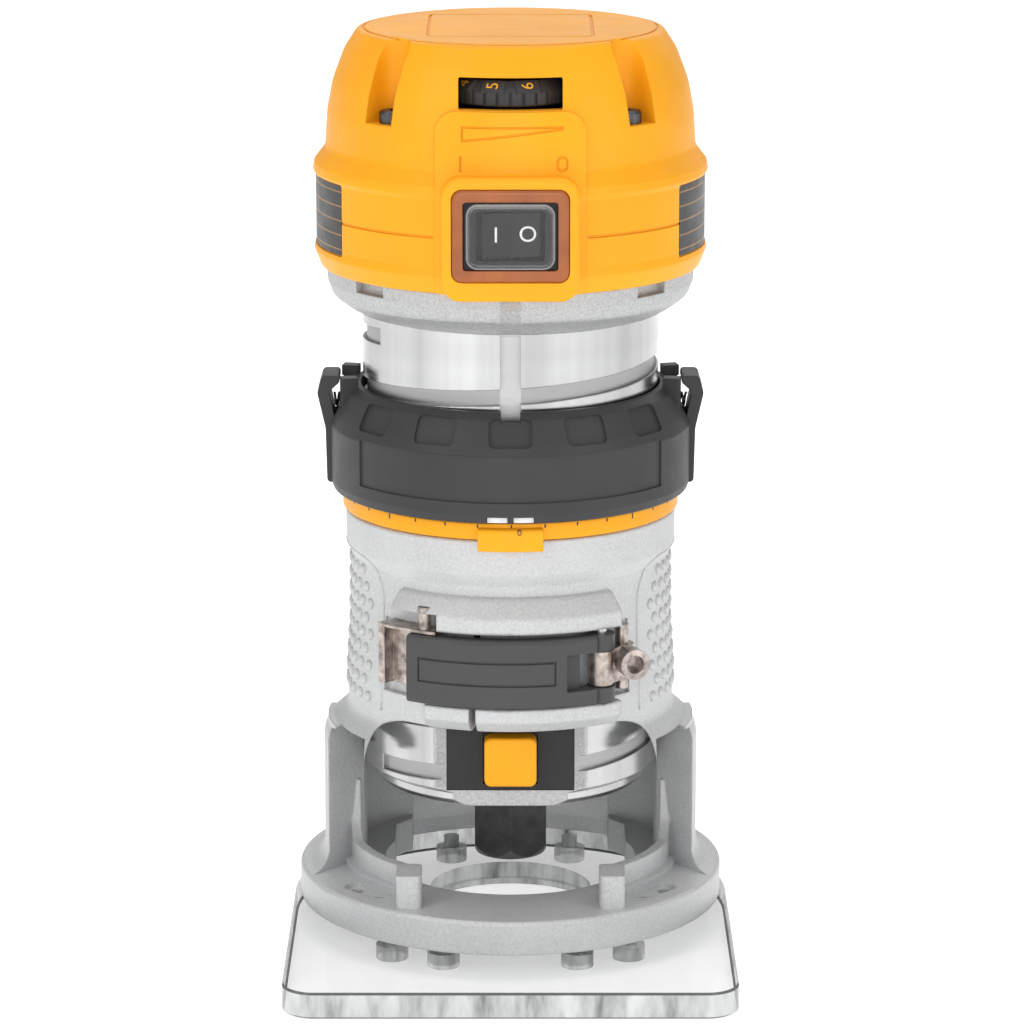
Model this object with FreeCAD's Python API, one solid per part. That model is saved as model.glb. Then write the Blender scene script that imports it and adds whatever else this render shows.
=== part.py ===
import FreeCAD, Part

import math
import os
from FreeCAD import Vector

# Compact woodworking router in its fixed base, millimetres.
# Origin: spindle axis at the underside of the sub-base. +Z up, -Y towards the user.

# ---- driving dimensions ----
MOTOR_R = 34.5                 # ground motor barrel
BORE_R = MOTOR_R + 0.08        # sliding fit in the base
LEAD = 12.7                    # motor travel for one turn of the depth ring
GROOVE_Z = 134.1               # height of the helical groove at the front
GROOVE_W = 3.7
GROOVE_DEPTH = 1.0
PLATE_HALF = 51.7              # sub-base half width, and its rear radius
PLATE_FRONT = 75.1
PLATE_T = 6.2
PLATE_HOLE_R = 19.4
FOOT_R = 50.3
FOOT_TOP = 14.3
FOOT_HOLE_R = 30.0
BAY_HALF = 24.2                # half width of the foot opening's rear bay
BAY_R = 47.2                   # radius that the bay reaches at the sub-base
BELL_R = 44.4
BELL_WALL = 4.2
WINDOW_HALF = 34.0
WINDOW_TOP = 56.5
WALL_FRONT = [(34.0, 1.0), (38.5, -4.9), (48.0, -17.5), (54.0, -25.5)]   # front faces of the side walls
SKIRT_OUT = 38.3
SKIRT_IN = 35.9
SKIRT_TOP = 20.8
ADAPTER_HOLES = [(43.5, 56.3), (42.8, 45.7)]     # radius and angle
RIM_TOP = 101.6
NECK_TOP = 103.4
INDEX_R = 39.4
RING_R = 42.3
RING_BOTTOM = 106.3
RING_TOP = 131.0
TAB_PIVOT_R = 39.7
TAB_PIVOT_Z = 119.5
NIB_R = 1.25
NIB_RISE = 0.2                 # the nib rides this far above the middle of the groove
MOTOR_BOTTOM = 35.9
BARREL_TOP = 148.6
CAP_BOTTOM = 159.2
CAP_R = 45.1
LEVER_IN = 39.9
LEVER_OUT = 43.9
LEVER_LOW = 63.1
LEVER_HIGH = 79.2
LEVER_PIVOT = Vector(20.8, -35.2, 0)
TRUNNION = Vector(25.6, -29.4, 0)
CLAMP_Z = 71.4
SWITCH_Z = 173.3
DIAL_Z = 203.6
DIAL_AXIS_Y = -25.4
LOCK_PIN_Z = 50.9
BRUSH_Z = 140.5
INLET_Z = 174.0
CORD_HOLE_R = 4.0
COLLET_BORE_R = 3.175          # 6.35 mm cutter shanks
NUT_FLATS = 17.0
NUT_BOTTOM = 15.7
NUT_TOP = 34.4
ROCKER_TILT = 9.0              # the switch rocker leans this far each way
GAP = 0.3                      # air between pieces that move past each other

UP = Vector(0, 0, 1)


# ---- helpers ----
def polar(radius, degrees, z=0.0):
    """A point at an angle measured from the front (-Y), positive towards +X."""
    a = math.radians(degrees)
    return Vector(radius * math.sin(a), -radius * math.cos(a), z)


def cyl(radius, z0, z1, x=0.0, y=0.0):
    return Part.makeCylinder(radius, z1 - z0, Vector(x, y, z0))


def rod(radius, start, end):
    return Part.makeCylinder(radius, (end - start).Length, start, end - start)


def tube(outer, inner, z0, z1, x=0.0, y=0.0):
    return cyl(outer, z0, z1, x, y).cut(cyl(inner, z0 - 1, z1 + 1, x, y))


def box(x0, x1, y0, y1, z0, z1):
    return Part.makeBox(x1 - x0, y1 - y0, z1 - z0, Vector(x0, y0, z0))


def flat_map(z):
    return lambda u, v: Vector(u, v, z)


def front_map(y):
    return lambda u, v: Vector(u, y, v)


def side_map(x):
    return lambda u, v: Vector(x, u, v)


def outline(corners, place):
    """A face whose corners (u, v, radius) are rounded, mapped into space by place."""
    starts, middles, ends = [], [], []
    count = len(corners)
    for i in range(count):
        here = Vector(corners[i][0], corners[i][1], 0)
        back = Vector(corners[i - 1][0], corners[i - 1][1], 0) - here
        ahead = Vector(corners[(i + 1) % count][0], corners[(i + 1) % count][1], 0) - here
        radius = corners[i][2] if len(corners[i]) > 2 else 0.0
        if radius == 0.0:
            starts.append(here)
            middles.append(None)
            ends.append(here)
            continue
        back.normalize()
        ahead.normalize()
        half = back.getAngle(ahead) / 2
        inward = back + ahead
        inward.normalize()
        reach = radius / math.tan(half)
        starts.append(here + back * reach)
        ends.append(here + ahead * reach)
        middles.append(here + inward * (radius / math.sin(half) - radius))
    edges = []
    for i in range(count):
        if middles[i] is not None:
            arc = [place(p.x, p.y) for p in (starts[i], middles[i], ends[i])]
            edges.append(Part.Arc(*arc).toShape())
        a = place(ends[i].x, ends[i].y)
        b = place(starts[(i + 1) % count].x, starts[(i + 1) % count].y)
        if (b - a).Length > 1e-6:
            edges.append(Part.LineSegment(a, b).toShape())
    return Part.Face(Part.Wire(Part.__sortEdges__(edges)))


def rect(u0, u1, v0, v1, radius=0.0):
    return [(u0, v0, radius), (u1, v0, radius), (u1, v1, radius), (u0, v1, radius)]


def plan(corners, z0, z1):
    return outline(corners, flat_map(z0)).extrude(Vector(0, 0, z1 - z0))


def front_plate(corners, y0, y1):
    return outline(corners, front_map(y0)).extrude(Vector(0, y1 - y0, 0))


def revolve(corners, start=None, end=None):
    """Turn an (r, z) outline about the axis, all round or from start to end degrees."""
    if start is None:
        return outline(corners, side_profile(0.0)).revolve(Vector(0, 0, 0), UP, 360)
    return outline(corners, side_profile(start)).revolve(Vector(0, 0, 0), UP, end - start)


def side_profile(degrees):
    return lambda r, z: polar(r, degrees, z)


def sector(outer, inner, z0, z1, start, end):
    return revolve([(inner, z0), (outer, z0), (outer, z1), (inner, z1)], start, end)


def fuse(first, *others):
    return first.fuse(list(others)).removeSplitter()


def mirror_x(shape):
    return shape.mirror(Vector(0, 0, 0), Vector(1, 0, 0))


def both(shape):
    return [shape, mirror_x(shape)]


def turned(shape, degrees):
    copy = shape.copy()
    copy.rotate(Vector(0, 0, 0), UP, degrees)
    return copy


def sweep_along(path, section):
    sweep = Part.BRepOffsetAPI.MakePipeShell(Part.Wire(path.Edges))
    sweep.setFrenetMode(True)
    sweep.add(section)
    sweep.build()
    sweep.makeSolid()
    return sweep.shape()


def coil(start, end, radius, wire, turns):
    """A compression spring between two points."""
    length = (end - start).Length - 2 * wire
    path = Part.makeHelix(length / turns, length, radius)
    section = Part.Wire(Part.makeCircle(wire, Vector(radius, 0, 0), Vector(0, 1, 0)))
    spring = sweep_along(path, section)
    spring.translate(Vector(0, 0, wire))
    turn = FreeCAD.Rotation(UP, end - start)
    spring.Placement = FreeCAD.Placement(start, turn).multiply(spring.Placement)
    return spring


NODES = {}


def node(name, *shapes):
    NODES[name] = shapes[0] if len(shapes) == 1 else Part.makeCompound(list(shapes))


# ---- fixed base ----
def foot_opening():
    """The chip opening in the foot: round, with a deep bay at the back."""
    circle = cyl(FOOT_HOLE_R, PLATE_T - 1, FOOT_TOP + 2)
    bay = plan([(-28, 10), (28, 10), (28, 24), (BAY_HALF, 29, 1), (BAY_HALF, 60),
                (-BAY_HALF, 60), (-BAY_HALF, 29, 1), (-28, 24)], PLATE_T - 1, FOOT_TOP + 2)
    under = bay.common(cyl(BAY_R, PLATE_T - 2, 10))
    above = bay.common(cyl(BELL_R - BELL_WALL, 9, FOOT_TOP + 3))
    return circle.fuse([under, above])


def bell_and_barrel():
    outer = revolve([
        (0, PLATE_T), (FOOT_R, PLATE_T, 0.6), (FOOT_R, FOOT_TOP, 0.9), (BELL_R, FOOT_TOP, 5.2),
        (BELL_R, 48.2, 6), (38.5, 53.4, 3.5), (38.4, 62.5), (37.6, 74.5, 30), (37.45, 90.6, 0.8),
        (38.6, 93.4, 0.8), (38.8, RIM_TOP, 0.6), (36.8, RIM_TOP), (36.8, NECK_TOP), (0, NECK_TOP)])
    inner = revolve([
        (0, FOOT_TOP), (BELL_R - BELL_WALL, FOOT_TOP), (BELL_R - BELL_WALL, 46.5, 4),
        (BORE_R, 51.5), (BORE_R, NECK_TOP + 1), (0, NECK_TOP + 1)])
    # the back wall flares with the bell down to the sub-base
    flare = revolve([(39, PLATE_T - 1), (BAY_R, PLATE_T - 1), (BAY_R, 9.5, 2.5), (40.2, 17, 6),
                     (40.2, 24), (39, 24)]).common(box(-BAY_HALF, BAY_HALF, 20, 60, 0, 40))
    return outer.cut(inner).cut(flare)


def side_wall_ends():
    """Thick front ends of the two side walls, beside the motor."""
    return both(sector(BELL_R - 1.0, BORE_R + 0.4, FOOT_TOP - 1, 50.5, 72, 99))


def open_front():
    """Cutter for the wide front opening, whose sides slant back and inward."""
    slant = plan(WALL_FRONT + [(54, -60), (34, -60)], FOOT_TOP, 60)
    arch = front_plate([(30, FOOT_TOP), (60, FOOT_TOP), (60, 46.0), (46, 47.0, 4), (40, 50.5, 4),
                        (30, 50.5)], -60, 5)
    return both(slant.common(arch))


def guard_skirts():
    """Low curved walls that run from the side walls to the two upright lugs."""
    skirt = sector(SKIRT_OUT, SKIRT_IN, FOOT_TOP - 1, 40.0, 40, 88)
    profile = outline([(-45, 10), (0, 10), (0, 34), (-2.6, 34), (-4.6, SKIRT_TOP, 7),
                       (-45, SKIRT_TOP)], side_map(20))
    foot = sector(SKIRT_OUT + 1.6, SKIRT_IN, FOOT_TOP - 1, FOOT_TOP + 1.6, 42, 84)
    return both(fuse(skirt.common(profile.extrude(Vector(30, 0, 0))), foot))


def foot_lugs():
    return both(plan(rect(20.6, 26.5, -40.8, -31.3, 1.4), FOOT_TOP - 1, 22.3))


def adapter_pocket_and_holes():
    """A shallow stadium pocket with two tapped holes, for a guide or dust adapter."""
    cutters = []
    half_width = 2.7
    for side in (-1, 1):
        pair = [polar(radius, side * degrees) for radius, degrees in ADAPTER_HOLES]
        for p in pair:
            cutters.append(cyl(half_width, FOOT_TOP - 1.1, FOOT_TOP + 2, p.x, p.y))
            cutters.append(cyl(1.6, PLATE_T - 1, FOOT_TOP + 1, p.x, p.y))
        along = pair[1] - pair[0]
        half = Vector(-along.y, along.x, 0).normalize() * half_width
        ring = [pair[0] + half, pair[1] + half, pair[1] - half, pair[0] - half]
        cutters.append(plan([(p.x, p.y) for p in ring], FOOT_TOP - 1.1, FOOT_TOP + 2))
    return cutters


def clamp_housing():
    """Hood above the lever and ledge below it, on the front of the barrel."""
    hood = revolve([(36, 80.2), (42.5, 80.2, 0.8), (42.5, 83.9, 1.6), (38.6, 88.0, 2.2), (36, 88.0)],
                   -41, 37)
    ledge = revolve([(36, 56.8), (40.2, 56.8, 1.2), (42.4, 59.5, 1), (42.4, 62.7, 0.6), (36, 62.7)],
                    -28, 37)
    return [hood, ledge]


def clamp_cuts():
    pocket = sector(48, 37.0, 62.7, 80.2, -50, 46)
    notch = sector(48, 37.6, 80.0, 84.2, -42, -23.5)
    slit = turned(box(-0.8, 0.8, -50, -30, 50, 80.2), -12)
    pivot_hole = cyl(1.3, 60.4, 82.6, LEVER_PIVOT.x, LEVER_PIVOT.y)
    anchor_hole = cyl(1.5, 79.0, 85.5, anchor().x, anchor().y)
    trunnion_bay = cyl(3.2, 62.7, 80.2, TRUNNION.x, TRUNNION.y)
    trunnion_bay = trunnion_bay.cut(cyl(35.8, 60, 82))
    dimple = Part.makeSphere(1.6, polar(43.6, -14.5, 84.6))
    return [pocket, notch, slit, pivot_hole, anchor_hole, trunnion_bay, dimple]


def fixed_base():
    solid = bell_and_barrel().fuse(side_wall_ends()).cut(open_front())
    solid = solid.fuse(guard_skirts() + foot_lugs() + clamp_housing())
    window = front_plate([(-WINDOW_HALF, FOOT_TOP), (WINDOW_HALF, FOOT_TOP),
                          (WINDOW_HALF, WINDOW_TOP, 11), (-WINDOW_HALF, WINDOW_TOP, 11)], -60, -5)
    skirts = Part.makeCompound(guard_skirts() + foot_lugs())
    window = window.cut(skirts)
    cutters = [window, foot_opening(), cyl(BORE_R, 50, NECK_TOP + 1)] + clamp_cuts()
    cutters += adapter_pocket_and_holes()
    cutters += [cyl(1.7, PLATE_T - 1, 11.0, p.x, p.y) for p in plate_screw_places()]
    solid = solid.cut(cutters)
    return solid.removeSplitter()


# ---- sub-base ----
def plate_screw_places():
    return [polar(41.5, a) for a in (22, -22, 112, -112)]


def sub_base():
    body = plan([(-PLATE_HALF, 0), (-PLATE_HALF, -PLATE_FRONT, 7.5),
                 (PLATE_HALF, -PLATE_FRONT, 7.5), (PLATE_HALF, 0)], 0, PLATE_T)
    body = body.fuse(cyl(PLATE_HALF, 0, PLATE_T)).removeSplitter()
    edges = [e for e in body.Edges if abs(e.BoundBox.ZLength) < 1e-6]
    body = body.makeChamfer(0.5, edges)
    cutters = [cyl(PLATE_HOLE_R, -1, PLATE_T + 1), cyl(PLATE_HOLE_R + 1.6, -1, 2.0)]
    for p in plate_screw_places():
        cutters.append(cyl(1.9, -1, PLATE_T + 1, p.x, p.y))
        cutters.append(cyl(3.8, -1, 3.4, p.x, p.y))
    for degrees in (40, -40, 160, -160):
        p = polar(43.0, degrees)
        cutters.append(cyl(1.9, -1, PLATE_T + 1, p.x, p.y))
        cutters.append(cyl(3.8, -1, 3.4, p.x, p.y))
    return body.cut(cutters)


def sub_base_screws():
    screws = []
    for p in plate_screw_places():
        head = cyl(3.3, 0.8, 3.4, p.x, p.y)
        head = head.cut(box(p.x - 2.4, p.x + 2.4, p.y - 0.4, p.y + 0.4, 0, 1.6))
        screws.append(fuse(head, cyl(1.7, 3.4, 10.6, p.x, p.y)))
    return screws


# ---- lever clamp ----
def anchor():
    return polar(40.6, -28.9)


def clamp_strap():
    band = sector(38.6, 37.2, 65.4, 77.2, -46, 20)
    fin = turned(box(-1.0, 1.0, -41.4, -37.2, 65.6, 79.4), -46)
    ear = sector(42.4, 37.7, 79.45, 80.15, -46, -24)
    tie = sector(38.6, 37.2, 76, 80.15, -46, -30)
    strap = fuse(band, fin, ear, tie)
    return strap.cut(cyl(1.5, 79, 81, anchor().x, anchor().y))


def clamp_lever():
    bar = revolve([(LEVER_IN, LEVER_LOW, 0.6), (LEVER_OUT, LEVER_LOW, 1.2),
                   (LEVER_OUT, LEVER_HIGH, 1.2), (LEVER_IN, LEVER_HIGH, 0.6)], -33, 27)
    knuckle = cyl(3.2, LEVER_LOW, LEVER_HIGH, LEVER_PIVOT.x, LEVER_PIVOT.y)
    lever = fuse(bar, knuckle)
    notch = sector(50, 36, 66.8, 75.5, 22.4, 50).fuse(sector(50, 41.6, 66.8, 75.5, 17.2, 22.6))
    line = sector(45, LEVER_OUT - 0.45, 68.5, 74.3, -29.0, 13.8)
    line = line.cut(sector(46, 40, 69.0, 73.8, -28.4, 13.2))
    bore = cyl(1.35, 60, 82, LEVER_PIVOT.x, LEVER_PIVOT.y)
    return lever.cut([notch, line, bore])


def clamp_link():
    """Steel loop rolled round the lever's pivot pin and round the trunnion."""
    low, high = 67.1, 75.2
    eye = cyl(2.75, low, high, LEVER_PIVOT.x, LEVER_PIVOT.y)
    far = cyl(2.9, low, high, TRUNNION.x, TRUNNION.y)
    along = TRUNNION - LEVER_PIVOT
    side = Vector(-along.y, along.x, 0).normalize()
    ring = [LEVER_PIVOT + side * 1.9, TRUNNION + side * 1.7,
            TRUNNION - side * 1.7, LEVER_PIVOT - side * 1.9]
    web = plan([(p.x, p.y) for p in ring], low, high)
    loop = fuse(eye, far, web)
    holes = [cyl(1.35, 60, 82, LEVER_PIVOT.x, LEVER_PIVOT.y),
             cyl(1.6, 60, 82, TRUNNION.x, TRUNNION.y)]
    window = rod(2.3, screw_point(-8), screw_point(12))
    return loop.cut(holes + [window])


def screw_point(distance):
    """A point on the clamp screw's axis, measured outward from the trunnion."""
    axis = Vector(0.35, -0.937, 0).normalize()
    return Vector(TRUNNION.x, TRUNNION.y, CLAMP_Z + 0.8) + axis * distance


def trunnion_pin():
    pin = cyl(1.6, 64.6, 79.8, TRUNNION.x, TRUNNION.y)
    return pin.cut(rod(1.4, screw_point(-4), screw_point(4)))


def clamp_screw():
    return rod(1.4, screw_point(-1.6), screw_point(6.2))


def clamp_nut():
    nut = rod(3.5, screw_point(4.4), screw_point(8.8))
    socket = rod(2.1, screw_point(6.2), screw_point(9.5))
    thread = rod(1.4, screw_point(3.5), screw_point(7))
    return nut.cut([socket, thread])


# ---- index ring and depth ring ----
def index_ring():
    low, high, step = RIM_TOP + GAP, RING_BOTTOM - 0.4, 103.2
    band = revolve([(37.1, low), (INDEX_R, low, 0.4), (INDEX_R, high, 0.3), (38.5, high), (38.5, step),
                    (37.1, step)])
    tab = revolve([(INDEX_R - 0.3, 99.4), (40.6, 99.4, 0.6), (40.6, 104.6, 0.8), (38.7, 105.0),
                   (38.7, low + 0.3), (INDEX_R - 0.3, low + 0.3)], -10.6, 10.6)
    return fuse(band, tab)


def depth_ring():
    body = revolve([
        (37.6, RING_BOTTOM), (41.6, RING_BOTTOM, 0.6), (RING_R, 108.4, 0.5), (RING_R, 121.6, 1.2),
        (41.2, 124.2, 1.0), (38.4, 129.6, 1.2), (36.4, RING_TOP, 0.4), (35.0, RING_TOP), (35.0, 112.0),
        (37.6, 110.0)])
    panel = sector(44, RING_R - 0.45, 111.2, 122.0, -55, 55)
    cutters = [panel]
    for step in range(-2, 3):
        cutters.append(finger_pocket(25.5 * step))
    for step in range(4, 11):
        cutters.append(finger_pocket(25.7 * step))
    for side in (-1, 1):
        cutters.append(sector(44, 36, RING_BOTTOM - 1, 107.9, *sorted((side * 0.8, side * 7.6))))
    cutters.append(sector(39, 34, 128.6, RING_TOP + 1, -3.6, 3.6))
    ears = []
    for centre in (90, -90):
        ears.append(sector(40.2, 36.4, 121, 133.2, centre - 14, centre - 9))
        ears.append(sector(40.2, 36.4, 121, 133.2, centre + 9, centre + 14))
    body = body.fuse(ears).cut(cutters)
    for side in (-1, 1):
        bay = box(38.6, 47.0, -5.6, 5.6, RING_BOTTOM - 1, RING_TOP + 6)
        bay = bay.fuse(box(34.0, 47.0, -5.6, 5.6, RING_BOTTOM - 1, TAB_PIVOT_Z + 3.2))
        body = body.cut(bay if side > 0 else mirror_x(bay))
        body = body.cut(rod(1.1, Vector(side * TAB_PIVOT_R, -8.4, TAB_PIVOT_Z),
                            Vector(side * TAB_PIVOT_R, 8.4, TAB_PIVOT_Z)))
    return body.removeSplitter()


def finger_pocket(degrees):
    """A shallow rounded pocket in the sloping shoulder of the depth ring."""
    tool = front_plate(rect(-4.9, 4.9, -3.4, 3.4, 1.3), -2.4, 1.0)
    tool.rotate(Vector(0, 0, 0), Vector(1, 0, 0), -27.4)
    tool.translate(Vector(0, -39.8, 126.9))
    return turned(tool, degrees)


def tab_pins():
    return [rod(1.1, Vector(side * TAB_PIVOT_R, -8.4, TAB_PIVOT_Z),
                Vector(side * TAB_PIVOT_R, 8.4, TAB_PIVOT_Z)) for side in (-1, 1)]


def release_tab(nib_z):
    """Right-hand tab: a finger plate, an arm inside the ring and a nib in the motor groove."""
    half = 5.2
    corners = [(40.6, 107.6, 0.8), (42.9, 107.6, 1.0), (43.2, 120.6, 6), (45.1, 129.0, 2.6),
               (43.9, 133.0, 1.2), (39.9, 133.0, 0.8), (39.9, 131.4, 0.5), (42.3, 129.2, 1.5),
               (41.2, 123.6, 3), (40.6, 120.0)]
    plate = front_plate(corners, -half, half)
    hub = rod(2.7, Vector(TAB_PIVOT_R, -half, TAB_PIVOT_Z), Vector(TAB_PIVOT_R, half, TAB_PIVOT_Z))
    web = box(TAB_PIVOT_R, 42.0, -half, half, TAB_PIVOT_Z - 2.7, TAB_PIVOT_Z + 2.7)
    arm = box(36.2, 37.2, -3.0, 3.0, nib_z - 1.4, TAB_PIVOT_Z + 1.0)
    bridge = box(36.2, TAB_PIVOT_R, -3.0, 3.0, TAB_PIVOT_Z - 1.6, TAB_PIVOT_Z + 1.0)
    nib = rod(NIB_R, Vector(MOTOR_R - 0.75, 0, nib_z), Vector(36.8, 0, nib_z))
    tab = fuse(plate, hub, web, arm, bridge, nib)
    bore = rod(1.16, Vector(TAB_PIVOT_R, -9, TAB_PIVOT_Z), Vector(TAB_PIVOT_R, 9, TAB_PIVOT_Z))
    return tab.cut(bore)


def groove_height(degrees, turns_down):
    return GROOVE_Z + LEAD * (degrees / 360.0 - turns_down)


# ---- motor ----
def motor_housing():
    shell = revolve([
        (0, MOTOR_BOTTOM), (31.2, MOTOR_BOTTOM, 0.8), (32.4, 37.4), (32.4, 39.0), (33.3, 39.6),
        (MOTOR_R, 40.2), (MOTOR_R, BARREL_TOP), (36.0, 149.0), (38.2, 150.2, 3), (41.4, 152.6, 3),
        (42.5, 155.6, 2), (42.7, CAP_BOTTOM - 0.1), (0, CAP_BOTTOM - 0.1)])
    cavity = revolve([
        (9.0, 30), (9.0, 40.5), (14.0, 40.5), (14.0, 48.6), (22.0, 48.6), (22.0, 56.0), (26.5, 56.0),
        (26.5, 67.0), (31.4, 67.0), (31.4, 156.5), (38.6, 159.0), (38.6, 170), (0, 170), (0, 30)])
    body = shell.cut(cavity)
    body = body.cut(box(-20, 20, -40, -29.6, 30, 58.5))
    keyway = box(-2.3, 2.3, -40, -33.4, 58.0, BARREL_TOP - 0.4)
    recess = box(-14.85, 14.85, -40, -27.6, 39.7, 58.0)
    guide = rod(2.0, Vector(0, -30, LOCK_PIN_Z), Vector(0, -20, LOCK_PIN_Z))
    button_well = box(-6.4, 6.4, -30, -23.6, 41.1, 53.6)
    notches = [sector(45, 40.6, 156.4, 160, a - 6.5, a + 6.5) for a in (49, -49, 131, -131)]
    bolts = [cyl(1.5, 151.6, 160, p.x, p.y) for p in cap_screw_places()]
    bolts += [cyl(1.5, 43.8, 49, p.x, p.y) for p in retainer_screw_places()]
    body = body.cut([keyway, recess, guide, button_well] + notches + bolts)
    return body.cut(height_groove())


def cap_screw_places():
    return [polar(37.6, a) for a in (45, -45, 135, -135)]


def height_groove():
    """Cutter for the helical groove that the depth ring's nibs run in."""
    turns = 8.0
    end_angle = 300.0
    low = GROOVE_Z + LEAD * (end_angle / 360.0 - turns)
    floor = MOTOR_R - GROOVE_DEPTH
    half = GROOVE_W / 2
    corners = [(floor, low - half), (MOTOR_R + 2, low - half), (MOTOR_R + 2, low + half), (floor, low + half)]
    section = outline(corners, lambda r, z: Vector(r, 0, z)).OuterWire
    path = Part.makeHelix(LEAD, turns * LEAD, MOTOR_R)
    path.translate(Vector(0, 0, low))
    groove = sweep_along(path, section)
    return turned(groove, end_angle - 90)


def spindle_dust_seal():
    return tube(13.8, 9.3, MOTOR_BOTTOM - 1.0, MOTOR_BOTTOM)


def ball_bearing(outer, inner, z0, z1, balls, ball_r):
    """Two races, a row of balls and two shields, as separate solids."""
    middle = (outer + inner) / 2
    height = (z0 + z1) / 2
    track = Part.makeTorus(middle, ball_r, Vector(0, 0, height), UP)
    outer_race = tube(outer, middle + ball_r * 0.55, z0, z1).cut(track)
    inner_race = tube(middle - ball_r * 0.55, inner, z0, z1).cut(track)
    solids = [outer_race, inner_race]
    for i in range(balls):
        solids.append(Part.makeSphere(ball_r - 0.02, polar(middle, 360.0 * i / balls, height)))
    return solids


def bearing_retainer():
    plate = tube(20.0, 10.2, 48.6, 50.0)
    holes = [cyl(1.6, 48, 51, p.x, p.y) for p in retainer_screw_places()]
    return plate.cut([box(-2.4, 2.4, -21, 0, 48, 51)] + holes)


def retainer_screw_places():
    return [polar(17.0, a) for a in (60, 180, 300)]


def retainer_screws():
    screws = []
    for p in retainer_screw_places():
        head = cyl(2.8, 50.0, 51.8, p.x, p.y)
        slot = box(p.x - 2.0, p.x + 2.0, p.y - 0.3, p.y + 0.3, 51.2, 52)
        screws.append(fuse(head.cut(slot), cyl(1.5, 44.0, 50.0, p.x, p.y)))
    return screws


# ---- spindle lock ----
def lock_insert():
    plate = front_plate(rect(-14.75, 14.75, 39.8, 57.9, 0.3), -29.5, -27.6)
    return plate.cut(box(-6.35, 6.35, -31, -27, 41.2, 53.5))


def lock_button():
    block = front_plate(rect(-6.05, 6.05, 41.5, 53.2, 1.6), -33.2, -28.2)
    front = [e for e in block.Edges if e.BoundBox.YMax < -33.1]
    block = block.makeFillet(0.7, front)
    pin = rod(1.9, Vector(0, -28.3, LOCK_PIN_Z), Vector(0, -9.6, LOCK_PIN_Z))
    return fuse(block, pin)


# ---- motor internals ----
COIL_SLOTS = [(40, 75), (105, 140), (220, 255), (285, 320)]


def stator_core():
    core = tube(31.4, 19.0, 82, 122)
    slots = [sector(28.5, 18.5, 81, 123, a, b) for a, b in COIL_SLOTS]
    return core.cut(slots)


def stator_windings():
    coils = []
    for first, last in ((0, 1), (2, 3)):
        start, end = COIL_SLOTS[first][0] + 1.5, COIL_SLOTS[last][1] - 1.5
        sides = [sector(28.0, 20.6, 74, 130, COIL_SLOTS[i][0] + 1.5, COIL_SLOTS[i][1] - 1.5)
                 for i in (first, last)]
        ends = [sector(28.0, 20.6, z, z + 7.6, start, end) for z in (74, 122.4)]
        coils.append(fuse(sides[0], sides[1], *ends))
    return coils


def armature_core():
    core = tube(18.3, 5.5, 82, 122)
    return core.cut([sector(19, 13.5, 81, 123, 30 * i - 3.5, 30 * i + 3.5) for i in range(12)])


def armature_windings():
    low = revolve([(5.6, 73.5), (13.0, 73.5, 3), (16.8, 77.5, 3), (16.8, 81.8), (5.6, 81.8)])
    high = revolve([(5.6, 122.2), (16.8, 122.2), (16.8, 126.5, 3), (11.5, 131.5, 3), (5.6, 131.5)])
    return [low, high]


def commutator():
    drum = tube(11.0, 5.5, 133.5, 147.5)
    riser = tube(12.0, 5.5, 132.0, 133.5)
    slots = [turned(box(-0.2, 0.2, -12, -10.4, 133.8, 148), 15.0 * i) for i in range(24)]
    return fuse(drum, riser).cut(slots)


def cooling_fan():
    disc = tube(25.2, 5.5, 64.2, 65.8)
    hub = tube(9.0, 5.5, 57.4, 64.2)
    blades = [turned(box(-0.5, 0.5, -25.0, -8.6, 57.4, 64.4), 30.0 * i + 10) for i in range(12)]
    return fuse(disc, hub, *blades)


def fan_baffle():
    return tube(31.4, 15.0, 67.0, 68.6)


def spindle():
    shaft = revolve([
        (4.9, 44.0), (4.9, 28.5), (5.9, 21.5), (6.95, 21.5, 0.3), (6.95, 35.2), (8.2, 35.2), (8.2, 40.4),
        (6.0, 40.5), (6.0, 48.9), (9.0, 48.9), (9.0, 53.2), (5.5, 53.2), (5.5, 151.9), (4.0, 151.9),
        (4.0, 160.5, 0.4), (0, 160.5), (0, 44.0)])
    hole = rod(2.15, Vector(0, -10, LOCK_PIN_Z), Vector(0, -5.3, LOCK_PIN_Z))
    return shaft.cut([turned(hole, 90.0 * i) for i in range(4)])


def collet():
    body = revolve([
        (COLLET_BORE_R, 17.4), (5.0, 17.4, 0.3), (5.4, 18.2), (5.4, 19.5), (4.9, 19.5), (4.9, 20.6),
        (5.72, 21.6), (4.74, 28.6), (4.74, 40.0, 0.3), (COLLET_BORE_R, 40.0)])
    slits = [turned(box(-0.35, 0.35, -8, 0, 17, 36), 45 + 90.0 * i) for i in range(4)]
    return body.cut(slits)


def collet_nut():
    corners = [polar(NUT_FLATS / math.sqrt(3), 60.0 * i) for i in range(6)]
    body = plan([(p.x, p.y, 0.3) for p in corners], NUT_BOTTOM, NUT_TOP)
    bevel = revolve([(0, NUT_BOTTOM), (8.2, NUT_BOTTOM, 0.6), (9.9, 18.6), (9.9, 33.4), (9.1, NUT_TOP),
                     (0, NUT_TOP)])
    inside = revolve([(0, 15), (5.6, 15), (5.6, 19.7), (5.05, 19.7), (5.05, 20.5), (7.0, 20.5), (7.0, 36),
                      (0, 36)])
    return body.common(bevel).cut(inside)


def bearing_bridge():
    hub = tube(15.0, 11.0, 151.9, 158.9)
    roof = tube(15.0, 5.2, 158.9, 160.4)
    bar = box(-31.0, 31.0, -6.5, 6.5, 154.4, 158.0).common(cyl(31.4, 150, 160))
    cross = box(-6.5, 6.5, -31.0, 31.0, 154.4, 158.0).common(cyl(31.4, 150, 160))
    arms = bar.fuse(cross).cut(cyl(12.5, 150, 160))
    return fuse(hub, roof, arms)


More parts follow.
